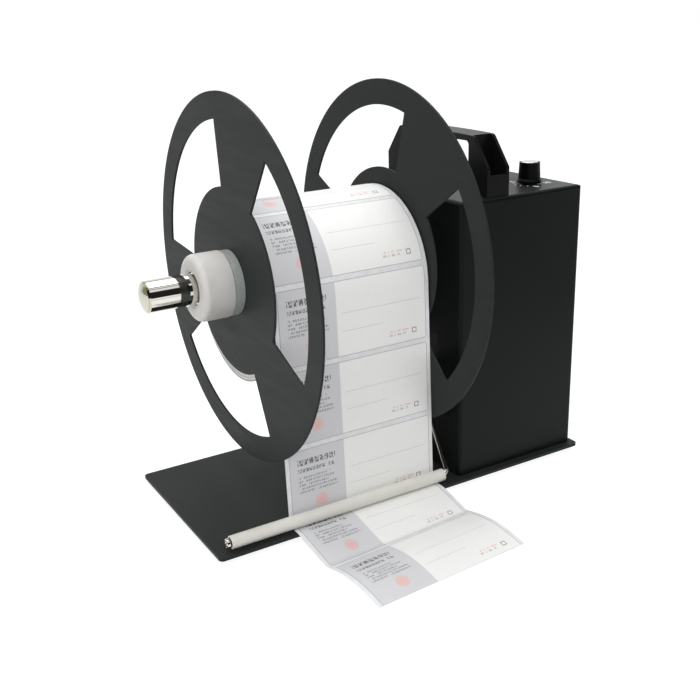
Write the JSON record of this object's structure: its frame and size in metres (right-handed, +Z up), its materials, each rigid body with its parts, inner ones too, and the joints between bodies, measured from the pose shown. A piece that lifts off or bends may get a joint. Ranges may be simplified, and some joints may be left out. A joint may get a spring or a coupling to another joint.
{
  "type": "label rewinding machine",
  "caption": "Desk-top label rewinder: motor-driven spindle with windowed flanges, a hanging label roll, hinged guide roller, carry handle and speed knob on a folded steel housing.",
  "frame": {"origin": "on the desk, under the middle of the whole outline", "axes": "+X along the spindle from its nose to the housing, -Y toward the user, +Z up"},
  "size_m": [0.2802, 0.2555, 0.2555],
  "materials": {
    "powder_steel": "satin black powder coat",
    "flange_coat": "matte black anodised look",
    "bright_steel": "polished",
    "wire_chrome": "polished",
    "zinc_steel": "zinc plated",
    "black_screw": "black oxide",
    "cast_alloy": "machined",
    "black_plastic": "fine grain",
    "grey_plastic": "smooth",
    "white_nylon": "smooth",
    "pale_collet": "translucent look",
    "roller_plastic": "satin",
    "gear_plastic": "acetal",
    "rubber": "matte",
    "paper": "coated paper labels on liner",
    "card": "grey-brown cardboard",
    "circuit_board": "solder mask",
    "brass": "turned"
  },
  "bodies": {
    "frame": {"base_plate": "powder_steel", "rubber_feet": "rubber", "housing": "powder_steel", "side_cover": "powder_steel", "side_cover_screws": "black_screw", "housing_screws": "zinc_steel", "carry_handle": "black_plastic", "handle_screws": "zinc_steel", "handle_nuts": "zinc_steel", "front_bearing_block": "cast_alloy", "front_bearing": "zinc_steel", "rear_bearing_block": "cast_alloy", "rear_bearing": "zinc_steel", "drive_plate": "zinc_steel", "drive_pillars": "brass", "pillar_screws": "black_screw", "gearbox": "cast_alloy", "motor_can": "zinc_steel", "motor_screws": "black_screw", "board_standoffs": "brass", "control_board": "circuit_board", "board_parts": "black_plastic", "speed_potentiometer": "cast_alloy", "potentiometer_nut": "zinc_steel", "power_inlet": "black_plastic", "inlet_nut": "zinc_steel", "switch_body": "black_plastic", "pivot_bush": "white_nylon", "arm_sensor": "black_plastic", "label_web": "paper"},
    "spindle": {"spindle_shaft": "bright_steel", "inner_flange": "flange_coat", "inner_hub": "cast_alloy", "grub_screws": "black_screw", "drive_gear": "gear_plastic", "shaft_circlip": "black_screw"},
    "outer_flange_set": {"outer_flange": "flange_coat", "lock_collet": "pale_collet"},
    "lock_nut_body": {"lock_nut": "white_nylon"},
    "roll": {"roll_core": "card", "label_roll": "paper"},
    "motor_rotor": {"motor_pinion": "brass"},
    "arm": {"tension_arm": "wire_chrome", "arm_boss": "zinc_steel", "pivot_shaft": "zinc_steel", "sensor_flag": "black_plastic", "roller_clip": "wire_chrome"},
    "roller": {"guide_roller": "roller_plastic"},
    "knob": {"speed_knob": "black_plastic", "knob_cap": "grey_plastic", "potentiometer_spindle": "zinc_steel"},
    "rocker": {"switch_rocker": "black_plastic"}
  },
  "joints": [
    {"name": "spindle_spin", "type": "hinge", "parent": "frame", "child": "spindle", "pos_m": [0.04065, 0.01775, 0.1455], "axis": [1, 0, 0], "continuous": true},
    {"name": "motor_spin", "type": "hinge", "parent": "frame", "child": "motor_rotor", "pos_m": [0.04065, 0.04776, 0.11332], "axis": [1, 0, 0], "continuous": true},
    {"name": "roll_turn", "type": "hinge", "parent": "frame", "child": "roll", "pos_m": [-0.0811, 0.02161, 0.13682], "axis": [1, 0, 0], "continuous": true},
    {"name": "outer_flange_slide", "type": "slide", "parent": "spindle", "child": "outer_flange_set", "axis": [-1, 0, 0], "range_m": [0, 0.03]},
    {"name": "lock_nut_turn", "type": "hinge", "parent": "outer_flange_set", "child": "lock_nut_body", "pos_m": [0.04065, 0.01775, 0.1455], "axis": [1, 0, 0], "range_deg": [0, 60]},
    {"name": "tension_arm_swing", "type": "hinge", "parent": "frame", "child": "arm", "pos_m": [0.04065, -0.00625, 0.071], "axis": [-1, 0, 0], "range_deg": [0, 35]},
    {"name": "guide_roller_spin", "type": "hinge", "parent": "arm", "child": "roller", "pos_m": [-0.0811, -0.04125, 0.0106], "axis": [1, 0, 0], "continuous": true},
    {"name": "speed_knob_turn", "type": "hinge", "parent": "frame", "child": "knob", "pos_m": [0.11415, -0.01795, 0.186], "axis": [0, 0, -1], "range_deg": [-150, 150]},
    {"name": "power_switch_rock", "type": "hinge", "parent": "frame", "child": "rocker", "pos_m": [0.07665, 0.0749, 0.068], "axis": [0, 0, -1], "range_deg": [0, 16]}
  ],
  "couplings": [
    {"joint": "motor_spin", "follows": "spindle_spin", "ratio": -2.6667},
    {"joint": "roll_turn", "follows": "spindle_spin", "ratio": 0.49869}
  ]
}
